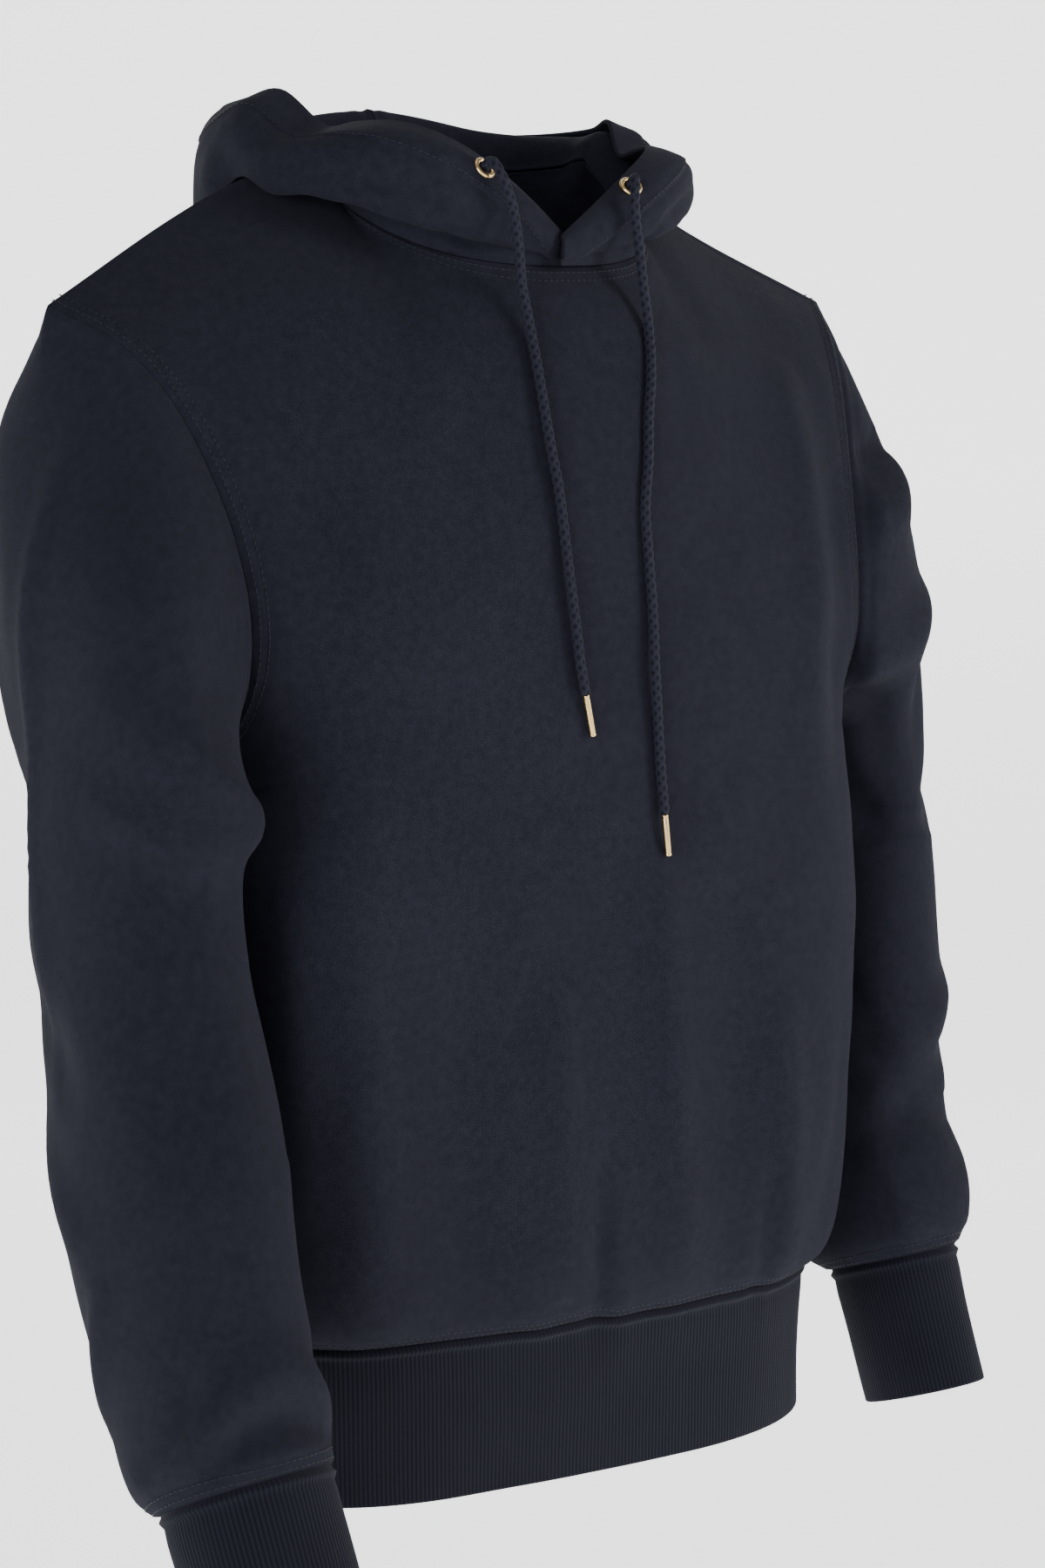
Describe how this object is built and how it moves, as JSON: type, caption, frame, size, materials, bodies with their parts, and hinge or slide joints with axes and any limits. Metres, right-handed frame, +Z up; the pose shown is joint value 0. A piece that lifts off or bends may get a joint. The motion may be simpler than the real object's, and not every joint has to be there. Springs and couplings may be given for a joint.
{
  "type": "pullover hoodie",
  "caption": "Pullover hoodie in navy fleece, worn open and hollow: set-in sleeves, rib cuffs and hem band, lying hood and hanging drawcord ends with metal eyelets and tips.",
  "frame": {"origin": "centre of the neck opening, level with the tops of the shoulder seams", "axes": "+X to the wearer's left, -Y out of the front, +Z up"},
  "size_m": [0.5795, 0.3898, 0.7206],
  "materials": {
    "fleece": "matt, softly brushed navy fleece",
    "rib": "matt navy rib knit",
    "cord": "matt navy braid",
    "brass": "polished"
  },
  "bodies": {
    "root": {"front_body": "fleece", "back_body": "fleece", "sleeve_right": "fleece", "sleeve_left": "fleece", "hood_right": "fleece", "hood_left": "fleece", "cuff_right": "rib", "cuff_left": "rib", "hem_band": "rib", "eyelet_right": "brass", "eyelet_left": "brass", "cord_right": "cord", "cord_left": "cord", "aglet_right": "brass", "aglet_left": "brass"}
  },
  "joints": []
}
